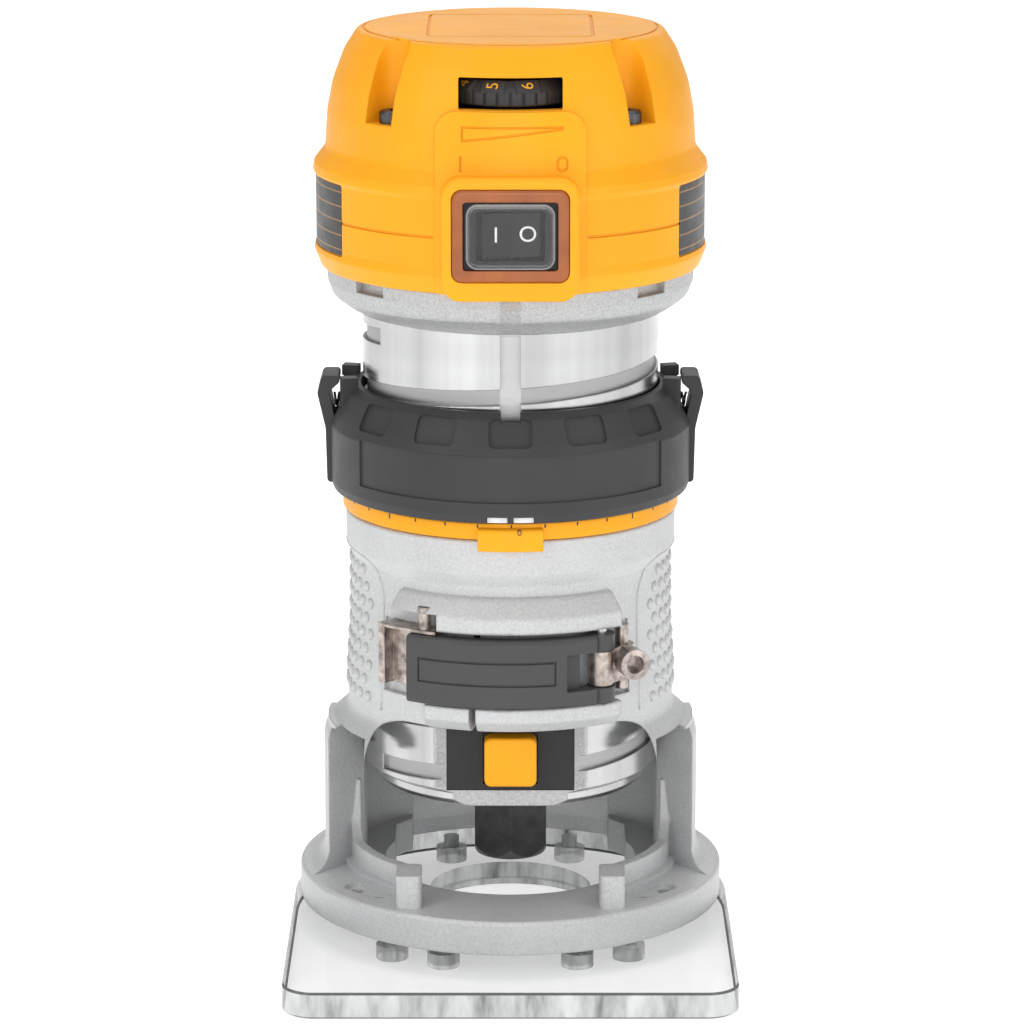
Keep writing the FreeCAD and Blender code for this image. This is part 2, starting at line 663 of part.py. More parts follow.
def brush_holders():
    holders = []
    for side in (-1, 1):
        outer = box(12.4, 30.6, -4.3, 4.3, BRUSH_Z - 5.3, BRUSH_Z + 5.3)
        inner = box(11.0, 29.8, -3.2, 3.2, BRUSH_Z - 4.2, BRUSH_Z + 4.2)
        holder = outer.cut(inner)
        holders.append(holder if side > 0 else mirror_x(holder))
    return holders


def carbon_brushes():
    brush = box(11.05, 20.0, -3.1, 3.1, BRUSH_Z - 4.1, BRUSH_Z + 4.1)
    return both(brush)


def brush_springs():
    return [coil(Vector(side * 20.1, 0, BRUSH_Z), Vector(side * 29.7, 0, BRUSH_Z), 2.2, 0.35, 5)
            for side in (-1, 1)]


# ---- top cap ----
def cap_profile(grow=0.0):
    """Outside of the cap, from its lower edge to the crown, grown outward by a margin."""
    g = grow
    return [(43.9 + g, CAP_BOTTOM, 0.8), (45.5 + g, 163.2, 1.2), (CAP_R + g, 165.2, 1.0),
            (CAP_R + g, 180.4, 0.3), (45.7 + g, 181.6, 0.5), (45.4 + g, 183.4, 1.0), (42.8 + g, 186.8, 2.5),
            (42.3 + g, 195.0, 25), (41.0 + g, 202.0, 20), (38.2 + g, 209.3, 12), (35.3 + g, 213.7, 1.6)]


def cap_body(grow=0.0, floor=CAP_BOTTOM, top=214.2):
    return revolve([(0, floor)] + cap_profile(grow) + [(33.0, top), (0, top)])


def cap_cavity():
    return revolve([
        (0, 150), (41.4, 150), (41.4, 162.0), (42.4, 164.0), (42.4, 181.5), (40.2, 186.5), (39.8, 195.0),
        (38.4, 201.5), (35.8, 208.2), (33.2, 211.2, 2), (0, 211.4)])


def front_panel():
    plate = front_plate([(-16.9, 158.4, 3), (16.9, 158.4, 3), (16.9, 200.2, 5), (-16.9, 200.2, 5)], -60, -20)
    plate = plate.common(cap_body(0.9))
    bezel = front_plate(rect(-15.5, 15.5, 158.4, 186.3, 4.5), -47.2, -30)
    rim = [e for e in bezel.Edges if e.BoundBox.YMax < -47.1]
    bezel = bezel.makeFillet(1.2, rim)
    return fuse(plate, bezel)


def engraving():
    wedge = front_plate([(-10.9, 197.0), (11.7, 197.0), (11.7, 196.2), (-10.9, 193.6)], -60, -30)
    wedge = wedge.cut(front_plate([(-10.5, 196.6), (11.3, 196.6), (-10.5, 194.1)], -61, -29))
    bar = front_plate(rect(-11.3, -10.8, 186.9, 190.4), -60, -30)
    ring = front_plate(rect(10.2, 12.8, 186.9, 190.4, 1.2), -60, -30)
    ring = ring.cut(front_plate(rect(10.7, 12.3, 187.4, 189.9, 0.7), -61, -29))
    skin = cap_body(1.2).cut(cap_body(0.6))
    return [shape.common(skin) for shape in (wedge, bar, ring)]


def screw_wells():
    """Deep channels in the crown that lead down to the cap screws."""
    wells = []
    for p in cap_screw_places():
        angle = math.degrees(math.atan2(p.x, -p.y))
        slot = turned(box(-4.15, 4.15, -60, -37.6, 195.6, 216), angle)
        wells.append(cyl(4.15, 195.6, 216, p.x, p.y).fuse(slot))
    return wells


def top_cap():
    shell = cap_body().cut(cap_cavity())
    posts = [cyl(6.0, 193.0, 212.0, p.x, p.y) for p in cap_screw_places()]
    posts += [cyl(3.6, CAP_BOTTOM, 194.0, p.x, p.y) for p in cap_screw_places()]
    posts = [post.common(cap_body()) for post in posts]
    shell = shell.fuse(posts + [front_panel().cut(cap_cavity())])
    screw_holes = [cyl(1.75, 150, 200, p.x, p.y) for p in cap_screw_places()]
    dial_slot = front_plate(rect(-11.6, 11.6, 200.4, 207.4, 0.4), -60, -30)
    switch_hole = front_plate(rect(-13.2, 13.2, SWITCH_Z - 10.5, SWITCH_Z + 10.5, 2.4), -60, -30)
    crown_step = tube(34.1, 33.6, 213.7, 216)
    badge = plan(rect(-19, 19, -20, 20, 2), 213.8, 216)
    badge = badge.cut(plan(rect(-18.4, 18.4, -19.4, 19.4, 1.6), 213, 217))
    seam = [sector(47, CAP_R - 0.4, 171.9, 172.5, a, b) for a, b in ((22.5, 58), (106, 254), (302, 337.5))]
    labels = [sector(47, CAP_R - 0.35, 164.4, 181.0, a, b) for a, b in ((58, 106), (254, 302))]
    inlet = inlet_rod(6.0, 38, 50)
    cutters = screw_wells() + screw_holes + seam + labels + engraving()
    cutters += [dial_slot, switch_hole, crown_step, badge, inlet, cyl(42.9, 150, CAP_BOTTOM)]
    return shell.cut(cutters).removeSplitter()


def side_labels():
    return [sector(CAP_R - 0.05, CAP_R - 0.3, 164.7, 180.7, a, b) for a, b in ((58.4, 105.6), (254.4, 301.6))]


def cap_screws():
    screws = []
    for p in cap_screw_places():
        head = cyl(2.9, 195.6, 198.6, p.x, p.y)
        head = head.makeFillet(0.8, [e for e in head.Edges if abs(e.BoundBox.ZMin - 198.6) < 1e-6])
        cross = box(p.x - 1.9, p.x + 1.9, p.y - 0.35, p.y + 0.35, 197.2, 199)
        cross = cross.fuse(box(p.x - 0.35, p.x + 0.35, p.y - 1.9, p.y + 1.9, 197.2, 199))
        screws.append(fuse(head.cut(cross), cyl(1.45, 152.0, 195.6, p.x, p.y)))
    return screws


def cord_inlet():
    bush = fuse(inlet_rod(6.0, 40.4, 46.0), inlet_rod(6.9, 45.5, 48.0), inlet_rod(6.9, 40.4, 41.4))
    return bush.cut(inlet_rod(CORD_HOLE_R, 38, 50))


def inlet_rod(radius, y0, y1):
    return rod(radius, Vector(0, y0, INLET_Z), Vector(0, y1, INLET_Z))


# ---- switch, dial and speed control ----
def switch_frame():
    frame = front_plate(rect(-13.1, 13.1, SWITCH_Z - 10.4, SWITCH_Z + 10.4, 2.3), -47.7, -40.5)
    frame = frame.makeFillet(0.8, [e for e in frame.Edges if e.BoundBox.YMax < -47.6])
    return frame.cut(front_plate(rect(-10.6, 10.6, SWITCH_Z - 7.7, SWITCH_Z + 7.7, 0.8), -50, -30))


def switch_body():
    block = front_plate(rect(-10.5, 10.5, SWITCH_Z - 7.6, SWITCH_Z + 7.6, 0.7), -47.0, -30)
    well = front_plate(rect(-7.6, 7.6, SWITCH_Z - 5.6, SWITCH_Z + 5.6, 0.6), -50, -40.5)
    pivot = cyl(0.95, SWITCH_Z - 6.4, SWITCH_Z + 6.4, 0, -43.6)
    terminals = [box(x - 0.4, x + 0.4, -30, -24, SWITCH_Z - 3.2, SWITCH_Z + 3.2) for x in (-6, 0, 6)]
    return fuse(block.cut([well, pivot]), *terminals)


def switch_rocker():
    """Rocker in its off position: the I side stands proud, the O side is pressed in."""
    body = outline([(-6.9, -46.0, 0.4), (0, -44.9, 8), (6.9, -46.0, 0.4), (6.3, -43.4), (2.2, -42.3, 1),
                    (-2.2, -42.3, 1), (-6.3, -43.4)], flat_map(SWITCH_Z - 5.1))
    body = body.extrude(Vector(0, 0, 10.2))
    axle = cyl(0.9, SWITCH_Z - 6.3, SWITCH_Z + 6.3, 0, -43.6)
    rocker = fuse(body, axle)
    rocker.rotate(Vector(0, -43.6, 0), UP, ROCKER_TILT)
    return rocker


def switch_dust_cover():
    outer = front_plate(rect(-9.9, 9.9, SWITCH_Z - 7.3, SWITCH_Z + 7.3, 2.6), -49.4, -47.0)
    outer = outer.makeFillet(1.4, [e for e in outer.Edges if e.BoundBox.YMax < -49.3])
    inner = front_plate(rect(-9.1, 9.1, SWITCH_Z - 6.5, SWITCH_Z + 6.5, 2.0), -48.7, -46)
    return outer.cut(inner)


def speed_dial():
    wheel = revolve([(2.1, -2.6), (14.0, -2.6, 0.5), (14.0, 0.4, 0.3), (11.6, 2.9, 0.4), (2.1, 2.9)])
    notches = [turned(box(-0.35, 0.35, -15, -13.5, -3, 0.6), 12.0 * i) for i in range(30)]
    wheel = wheel.cut(notches)
    wheel.translate(Vector(0, DIAL_AXIS_Y, DIAL_Z))
    return wheel


def dial_axle():
    return cyl(2.05, DIAL_Z - 6.0, DIAL_Z + 4.2, 0, DIAL_AXIS_Y)


def speed_control_module():
    block = plan(rect(-17, 17, -8.5, 15, 2), 182, 205)
    arm = box(-6, 6, -30, -8.5, 195.2, 197.6)
    pot = cyl(7.0, 197.6, 200.4, 0, DIAL_AXIS_Y)
    fins = [box(x - 0.7, x + 0.7, 15, 20, 184, 203) for x in range(-14, 15, 4)]
    return fuse(block, arm, pot, *fins).cut(cyl(2.05, 190, 202, 0, DIAL_AXIS_Y))


def tab_spring():
    return coil(Vector(-38.7, 0, 126.5), Vector(-41.5, 0, 126.5), 1.4, 0.3, 2)


def build_base():
    node("fixed_base", fixed_base())
    node("sub_base", sub_base())
    node("sub_base_screws", *sub_base_screws())
    node("clamp_strap", clamp_strap())
    node("anchor_pin", cyl(1.5, 79.45, 85.4, anchor().x, anchor().y))
    node("lever_pivot_pin", cyl(1.3, 60.5, 82.5, LEVER_PIVOT.x, LEVER_PIVOT.y))
    node("trunnion_pin", trunnion_pin())
    node("clamp_screw", clamp_screw())
    node("clamp_nut", clamp_nut())
    node("clamp_link", clamp_link())
    node("clamp_lever", clamp_lever())


def build_depth_adjuster():
    node("index_ring", index_ring())
    node("depth_ring", depth_ring())
    node("tab_pins", *tab_pins())
    node("right_release_tab", release_tab(groove_height(90, 2) + NIB_RISE))
    node("left_release_tab", mirror_x(release_tab(groove_height(-90, 2) + NIB_RISE)))
    node("right_tab_spring", turned(tab_spring(), 180))
    node("left_tab_spring", tab_spring())


def build_motor():
    node("motor_housing", motor_housing())
    node("spindle_dust_seal", spindle_dust_seal())
    node("lower_bearing", *ball_bearing(14.0, 6.0, 40.5, 48.5, 9, 2.4))
    node("upper_bearing", *ball_bearing(11.0, 4.0, 151.9, 158.9, 8, 2.0))
    node("bearing_retainer", bearing_retainer())
    node("retainer_screws", *retainer_screws())
    node("bearing_bridge", bearing_bridge())
    node("stator_core", stator_core())
    node("stator_windings", *stator_windings())
    node("brush_holders", *brush_holders())
    node("carbon_brushes", *carbon_brushes())
    node("brush_springs", *brush_springs())
    node("fan_baffle", fan_baffle())
    node("lock_insert", lock_insert())
    node("lock_spring", coil(Vector(0, -28.1, LOCK_PIN_Z), Vector(0, -23.7, LOCK_PIN_Z), 2.35, 0.25, 4))
    node("lock_button", lock_button())


def build_spindle():
    node("spindle", spindle())
    node("armature_core", armature_core())
    node("armature_windings", *armature_windings())
    node("commutator", commutator())
    node("cooling_fan", cooling_fan())
    node("collet", collet())
    node("collet_nut", collet_nut())


def build_top():
    node("top_cap", top_cap())
    node("side_labels", *side_labels())
    node("cap_screws", *cap_screws())
    node("cord_inlet", cord_inlet())
    node("switch_frame", switch_frame())
    node("switch_body", switch_body())
    node("switch_rocker", switch_rocker())
    node("switch_dust_cover", switch_dust_cover())
    node("speed_dial", speed_dial())
    node("dial_axle", dial_axle())
    node("speed_control_module", speed_control_module())


if __name__ == "__main__":
    os.makedirs("parts", exist_ok=True)
    build_base()
    build_depth_adjuster()
    build_motor()
    build_spindle()
    build_top()
    for name, shape in NODES.items():
        solids = len(shape.Solids)
        print(name, "valid" if shape.isValid() else "INVALID", solids, round(shape.Volume))
        shape.exportStep("parts/%s.step" % name)
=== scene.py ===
import math

import bmesh
import bpy
from mathutils import Matrix, Vector


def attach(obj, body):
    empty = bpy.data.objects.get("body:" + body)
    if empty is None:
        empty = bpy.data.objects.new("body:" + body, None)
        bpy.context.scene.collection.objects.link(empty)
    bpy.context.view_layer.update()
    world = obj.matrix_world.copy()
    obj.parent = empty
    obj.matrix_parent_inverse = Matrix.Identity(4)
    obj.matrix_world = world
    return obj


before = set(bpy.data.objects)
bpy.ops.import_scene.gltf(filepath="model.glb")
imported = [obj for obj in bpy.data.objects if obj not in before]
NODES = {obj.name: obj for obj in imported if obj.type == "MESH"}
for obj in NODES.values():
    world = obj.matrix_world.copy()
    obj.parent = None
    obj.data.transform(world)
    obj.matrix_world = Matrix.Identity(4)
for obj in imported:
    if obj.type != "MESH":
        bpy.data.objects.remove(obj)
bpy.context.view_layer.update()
MM = 0.001


# ---------------------------------------------------------------- node helpers
class Nodes:
    """A material's node tree, with short calls for the nodes used here."""

    def __init__(self, name):
        self.material = bpy.data.materials.new(name)
        self.material.use_nodes = True
        self.tree = self.material.node_tree
        self.shader = self.tree.nodes["Principled BSDF"]
        self.place = self.add("ShaderNodeTexCoord").outputs["Object"]

    def add(self, kind, inputs=None, **settings):
        node = self.tree.nodes.new(kind)
        for key, value in settings.items():
            setattr(node, key, value)
        for key, value in (inputs or {}).items():
            self.feed(node.inputs[key], value)
        return node

    def feed(self, socket, value):
        if isinstance(value, bpy.types.NodeSocket):
            self.tree.links.new(value, socket)
        else:
            socket.default_value = value

    def set(self, **values):
        for key, value in values.items():
            self.feed(self.shader.inputs[key.replace("_", " ")], value)

    def math(self, operation, a, b=0.0, clamp=False):
        node = self.add("ShaderNodeMath", {0: a, 1: b}, operation=operation, use_clamp=clamp)
        return node.outputs[0]

    def split(self):
        return self.add("ShaderNodeSeparateXYZ", {0: self.place}).outputs

    def radius(self):
        x, y, _ = self.split()
        return self.math("SQRT", self.math("ADD", self.math("MULTIPLY", x, x), self.math("MULTIPLY", y, y)))

    def step(self, value, low, high):
        node = self.add("ShaderNodeMapRange", {0: value, 1: low, 2: high}, interpolation_type="SMOOTHSTEP")
        return node.outputs[0]

    def noise(self, scale, detail=3.0, stretch=(1, 1, 1), roughness=0.5):
        mapping = self.add("ShaderNodeMapping", {"Vector": self.place, "Scale": stretch})
        node = self.add("ShaderNodeTexNoise", {"Vector": mapping.outputs[0], "Scale": scale,
                                               "Detail": detail, "Roughness": roughness})
        return node.outputs[0]

    def cells(self, scale):
        return self.add("ShaderNodeTexVoronoi", {"Vector": self.place, "Scale": scale}).outputs[0]

    def spread(self, value, low, high):
        """Map a noise value, which lies mostly from 0.3 to 0.7, to low..high."""
        return self.add("ShaderNodeMapRange", {0: value, 1: 0.3, 2: 0.7, 3: low, 4: high}).outputs[0]

    def mix(self, factor, a, b):
        node = self.add("ShaderNodeMix", data_type="RGBA")
        colours = [s for s in node.inputs if s.type == "RGBA"]
        self.feed(node.inputs[0], factor)
        self.feed(colours[0], rgba(a))
        self.feed(colours[1], rgba(b))
        return [s for s in node.outputs if s.type == "RGBA"][0]

    def bump(self, height, depth, strength, edge=0.0):
        """Relief of a depth in metres; an edge radius also softens the corners of the mesh."""
        inputs = {"Height": height, "Distance": depth, "Strength": strength}
        if edge > 0.0:
            inputs["Normal"] = self.add("ShaderNodeBevel", {"Radius": edge}, samples=4).outputs[0]
        return self.add("ShaderNodeBump", inputs).outputs[0]


def rgba(colour):
    if isinstance(colour, bpy.types.NodeSocket):
        return colour
    return tuple(colour) + (1.0,) if len(colour) == 3 else colour


def lighter(colour, factor):
    return tuple(min(1.0, c * factor) for c in colour)


# ---------------------------------------------------------------- materials
YELLOW = (0.88, 0.37, 0.009)
DARK_GREY = (0.046, 0.046, 0.048)
INSERT_GREY = (0.030, 0.030, 0.032)
SWITCH_BLACK = (0.010, 0.010, 0.011)
NUT_BLACK = (0.040, 0.040, 0.042)
RUBBER_BLACK = (0.022, 0.022, 0.023)
CAST = (0.47, 0.475, 0.48)
MACHINED = (0.60, 0.603, 0.608)
BURNISHED = (0.36, 0.315, 0.285)


def moulded(name, colour, roughness=0.45, grain=0.00004, grain_scale=2600, edge=0.0003, mottling=0.06):
    """Moulded plastic with a spark-eroded grain, faint flow mottling and softened edges."""
    n = Nodes(name)
    cloud = n.spread(n.noise(35, 4), 0, 1)
    fine = n.noise(grain_scale, 2)
    tint = n.mix(cloud, lighter(colour, 1 - mottling), lighter(colour, 1 + mottling))
    rough = n.math("ADD", n.spread(n.noise(160, 3), roughness - 0.04, roughness + 0.05),
                   n.spread(fine, -0.03, 0.03))
    n.set(Base_Color=tint, Roughness=rough, Normal=n.bump(fine, grain, 0.5, edge))
    n.shader.inputs["Specular IOR Level"].default_value = 0.22
    return n.material


def cast_aluminium():
    """Bead-blasted die casting: bright speckle, pin pores and a slow change of tone."""
    n = Nodes("cast_aluminium")
    speckle = n.noise(1900, 2, roughness=0.7)
    patch = n.noise(60, 5)
    tone = n.mix(n.spread(patch, 0, 1), lighter(CAST, 0.93), lighter(CAST, 1.06))
    tone = n.mix(n.spread(speckle, 0.0, 0.55), tone, lighter(CAST, 1.5))
    pores = n.step(n.cells(420), 0.0, 0.09)
    tone = n.mix(pores, lighter(CAST, 0.66), tone)
    relief = n.math("ADD", n.math("MULTIPLY", n.noise(900, 3), 0.8),
                    n.math("MULTIPLY", n.noise(240, 3), 0.9))
    n.set(Base_Color=tone, Metallic=0.30, Roughness=n.spread(speckle, 0.42, 0.60),
          Normal=n.bump(relief, 0.00020, 0.7, 0.0007))
    return n.material


FLANGE_Z = 148.7    # the cast flange starts here, in mm
PAD_Y = 29.6        # the cast pad in front of the spindle lock lies this far forward


def motor_aluminium():
    """Turned barrel, bright with fine tool lines and painted dark reflection bands, and the cast surfaces
    of the same housing.
    """
    n = Nodes("motor_aluminium")
    x, y, z = n.split()
    lines = n.noise(900, 4, (0.02, 0.02, 1.0), 0.65)
    bands = n.noise(170, 2, (0.03, 0.03, 1.0))
    # Painted reflection: noise stretched along the axis darkens the barrel in upright bands, standing in
    # for the dark parts of the studio that the barrel reflects.
    painted_reflection_bands = n.noise(60, 4, (1.0, 1.0, 0.02), 0.6)
    turned = n.mix(n.spread(bands, 0, 1), lighter(MACHINED, 0.93), lighter(MACHINED, 1.03))
    turned = n.mix(n.spread(painted_reflection_bands, 0.0, 0.8), turned, lighter(MACHINED, 0.5))
    speckle = n.noise(1900, 2, roughness=0.7)
    cast = n.mix(n.spread(speckle, 0.1, 0.8), lighter(CAST, 0.72), lighter(CAST, 1.25))
    flange = n.step(z, FLANGE_Z * MM, (FLANGE_Z + 0.4) * MM)
    inside = n.step(n.radius(), 34.35 * MM, 34.1 * MM)
    off_pad = n.math("ABSOLUTE", n.math("ADD", y, PAD_Y * MM))
    pad = n.math("MULTIPLY", n.step(off_pad, 0.15 * MM, 0.05 * MM), n.step(z, 59.5 * MM, 58.5 * MM))
    pad = n.math("MULTIPLY", pad, n.step(n.math("ABSOLUTE", x), 18.3 * MM, 18.0 * MM))
    groove = n.math("MULTIPLY", inside, n.step(z, 40.3 * MM, 40.6 * MM))
    keyway = n.math("MULTIPLY", n.step(n.math("ABSOLUTE", x), 2.5 * MM, 2.3 * MM),
                    n.step(y, -30 * MM, -31 * MM))
    rough_part = n.math("MAXIMUM", flange, pad)
    # Partly painted shade: the groove floor and the keyway are darker than the turned face, for their
    # rougher cut and for the shade in these recesses.
    base = n.mix(groove, turned, lighter(MACHINED, 0.62))
    base = n.mix(keyway, base, lighter(MACHINED, 0.85))
    base = n.mix(rough_part, base, cast)
    metal = n.math("SUBTRACT", 1.0, n.math("MULTIPLY", rough_part, 0.45))
    rough = n.math("ADD", n.spread(lines, 0.17, 0.26), n.math("MULTIPLY", rough_part, 0.28))
    rough = n.math("ADD", rough, n.math("MULTIPLY", n.math("MAXIMUM", groove, keyway), 0.26))
    grooves = n.math("MULTIPLY", lines, n.math("SUBTRACT", 1.0, rough_part))
    grain = n.math("MULTIPLY", n.noise(900, 3), n.math("MULTIPLY", rough_part, 3.0))
    n.set(Base_Color=base, Metallic=metal, Roughness=rough,
          Normal=n.bump(n.math("ADD", grooves, grain), 0.00004, 0.6, 0.0004))
    n.set(Tangent=n.add("ShaderNodeTangent", direction_type="RADIAL", axis="Z").outputs[0])
    n.shader.inputs["Anisotropic"].default_value = 0.65
    return n.material


def burnished_steel():
    """Pressed steel with a dull tan plating, rubbed bright in patches."""
    n = Nodes("burnished_steel")
    patch = n.noise(420, 5, roughness=0.62)
    tint = n.mix(n.spread(patch, 0, 1), lighter(BURNISHED, 0.45), lighter(BURNISHED, 1.8))
    scratches = n.noise(900, 3, (1, 1, 0.06))
    n.set(Base_Color=tint, Metallic=0.9, Roughness=n.spread(scratches, 0.26, 0.46),
          Normal=n.bump(patch, 0.00006, 0.5, 0.0003))
    return n.material


def bright_steel(name, colour, roughness=0.28, metallic=1.0):
    """Drawn or turned steel, with fine lines around or along it."""
    n = Nodes(name)
    lines = n.noise(1400, 3, (1, 1, 0.1))
    n.set(Base_Color=n.mix(n.spread(n.noise(200, 4), 0, 1), lighter(colour, 0.8), lighter(colour, 1.1)),
          Metallic=metallic, Roughness=n.spread(lines, roughness - 0.07, roughness + 0.1),
          Normal=n.bump(lines, 0.00002, 0.5, 0.0002))
    return n.material


def black_oxide():
    """Blackened steel of the collet nut, rubbed on its corners."""
    n = Nodes("black_oxide")
    rubbed = n.noise(240, 5, roughness=0.6)
    n.set(Base_Color=n.mix(n.spread(rubbed, 0, 1), NUT_BLACK, lighter(NUT_BLACK, 1.9)), Metallic=0.35,
          Roughness=n.spread(rubbed, 0.30, 0.44), Normal=n.bump(n.noise(1600, 2), 0.00003, 0.5, 0.0004))
    return n.material


def clear_acrylic():
    """Polished clear sub-base: faint grey faces, light and shade painted on the edges in streaks, and a
    painted dark outline on the sloped rims.
    """
    n = Nodes("clear_acrylic")
    up = n.add("ShaderNodeSeparateXYZ", {0: n.add("ShaderNodeNewGeometry").outputs["Normal"]}).outputs[2]
    wall = n.step(n.math("ABSOLUTE", up), 0.9, 0.5)
    streak = n.noise(120, 4, (1, 1, 0.25), 0.7)
    marks = n.step(n.noise(700, 5, (1, 0.12, 1), 0.7), 0.60, 0.74)
    # Painted light and shade: the upright edges are streaked from near black to light grey, standing in for
    # light gathered inside the plate.
    painted_edge_streaks = n.mix(n.spread(streak, 0, 1), (0.10, 0.11, 0.11), (0.66, 0.68, 0.68))
    # Painted shade: the sloped rim faces are made near black and more opaque, standing in for the dark
    # outline that refraction gives them.
    rim = n.step(n.math("ABSOLUTE", up), 0.35, 0.6)
    rim = n.math("MULTIPLY", rim, n.step(n.math("ABSOLUTE", up), 0.95, 0.8))
    cover = n.math("ADD", n.math("MULTIPLY", wall, n.spread(streak, 0.85, 0.30)),
                   n.math("MULTIPLY", rim, 0.6))
    tone = n.mix(wall, (0.22, 0.23, 0.23), painted_edge_streaks)
    n.set(Base_Color=n.mix(rim, tone, (0.12, 0.13, 0.13)),
          Roughness=n.math("ADD", 0.03, n.math("MULTIPLY", marks, 0.10)),
          Alpha=n.math("ADD", 0.17, cover, clamp=True))
    n.shader.inputs["IOR"].default_value = 1.49
    return n.material


def clear_cover():
    """Thin flexible dust cover over the switch: clear faces, and a painted white highlight, more opaque,
    where it curves down.
    """
    n = Nodes("clear_cover")
    wave = n.noise(260, 3)
    # Painted highlight: faces turned away from front and back get a white, more opaque layer, standing in
    # for the bright light on the cover's curved rim.
    lean = n.math("ABSOLUTE", n.add("ShaderNodeSeparateXYZ",
                                    {0: n.add("ShaderNodeNewGeometry").outputs["Normal"]}).outputs[1])
    n.set(Base_Color=(0.80, 0.81, 0.82, 1), Roughness=n.spread(wave, 0.04, 0.10),
          Alpha=n.add("ShaderNodeMapRange", {0: lean, 1: 0.3, 2: 0.97, 3: 0.50, 4: 0.03}).outputs[0],
          Normal=n.bump(wave, 0.0002, 0.4))
    n.shader.inputs["IOR"].default_value = 1.45
    return n.material


def amber_plastic():
    """Translucent amber frame of the dust cover, glossy."""
    n = Nodes("amber_plastic")
    cloud = n.spread(n.noise(150, 3), 0, 1)
    n.set(Base_Color=n.mix(cloud, (0.28, 0.066, 0.007), (0.38, 0.100, 0.012)), Roughness=0.30,
          Normal=n.bump(n.noise(500, 2), 0.00003, 0.4, 0.0005))
    n.shader.inputs["Coat Weight"].default_value = 0.12
    n.shader.inputs["Coat Roughness"].default_value = 0.08
    n.shader.inputs["Subsurface Weight"].default_value = 0.12
    n.shader.inputs["Subsurface Scale"].default_value = 0.002
    return n.material


def label_film():
    """Plain black film with printed rules, and no wording."""
    n = Nodes("label_film")
    _, _, z = n.split()
    level = n.math("MULTIPLY", n.math("SUBTRACT", z, 164.4 * MM), 1 / (3.3 * MM))
    off_rule = n.math("ABSOLUTE", n.math("SUBTRACT", n.math("FRACT", level), 0.5))
    rule = n.math("SUBTRACT", 1.0, n.step(off_rule, 0.035, 0.06))
    scuff = n.noise(300, 4)
    film = n.mix(n.spread(scuff, 0, 1), (0.014, 0.014, 0.015), (0.028, 0.028, 0.030))
    n.set(Base_Color=n.mix(n.math("MULTIPLY", rule, 0.45), film, (0.62, 0.30, 0.04)),
          Roughness=n.spread(scuff, 0.34, 0.48), Normal=n.bump(scuff, 0.00002, 0.4))
    return n.material


def soft_black():
    """Dull rubber and carbon."""
    n = Nodes("soft_black")
    fine = n.noise(1200, 3)
    cloud = n.spread(n.noise(90, 3), 0, 1)
    n.set(Base_Color=n.mix(cloud, lighter(RUBBER_BLACK, 0.8), lighter(RUBBER_BLACK, 1.3)),
          Roughness=n.spread(fine, 0.54, 0.68), Normal=n.bump(fine, 0.00004, 0.5, 0.0002))
    return n.material


def copper():
    """Wound wire and contact copper."""
    n = Nodes("copper")
    strands = n.noise(2600, 2, (0.15, 0.15, 1))
    n.set(Base_Color=n.mix(n.spread(strands, 0, 1), (0.42, 0.13, 0.05), (0.72, 0.28, 0.12)), Metallic=0.9,
          Roughness=0.35, Normal=n.bump(strands, 0.0001, 0.8))
    return n.material


def print_ink(name, colour):
    """A thin printed layer with a slight unevenness."""
    n = Nodes(name)
    n.set(Base_Color=n.mix(n.spread(n.noise(900, 3), 0, 1), lighter(colour, 0.92), lighter(colour, 1.06)),
          Roughness=0.5, Normal=n.bump(n.noise(2500, 2), 0.00002, 0.4))
    return n.material


yellow = moulded("yellow_plastic", YELLOW, 0.42)
dark_grey = moulded("dark_grey_plastic", DARK_GREY, 0.46, 0.00005, 2200, mottling=0.10)
lever_grey = moulded("lever_grey", (0.068, 0.068, 0.070), 0.38, 0.00002, 2600)
insert_grey = moulded("insert_grey", INSERT_GREY, 0.45)
cast = cast_aluminium()
motor = motor_aluminium()
burnished = burnished_steel()
steel = bright_steel("bright_steel", (0.56, 0.56, 0.57))
dark_screw_and_spring_shade = bright_steel("dark_screw_and_spring_shade", (0.10, 0.10, 0.105), 0.34)
oxide = black_oxide()
acrylic = clear_acrylic()
cover_clear = clear_cover()
amber = amber_plastic()
film = label_film()
rubber = soft_black()
switch_black = moulded("switch_black", SWITCH_BLACK, 0.30, 0.00001)
# Painted highlight: the sub-base screws are whitened well past steel's own colour, so that they read as the
# bright spots they make in the clear plate.
whitened_steel_highlight = bright_steel("whitened_steel_highlight", (0.88, 0.88, 0.88), 0.30, 0.45)
copper_wire = copper()
white_ink = print_ink("white_ink", (0.80, 0.80, 0.80))
yellow_ink = print_ink("yellow_ink", (0.85, 0.42, 0.03))
black_ink = print_ink("black_ink", (0.02, 0.02, 0.02))

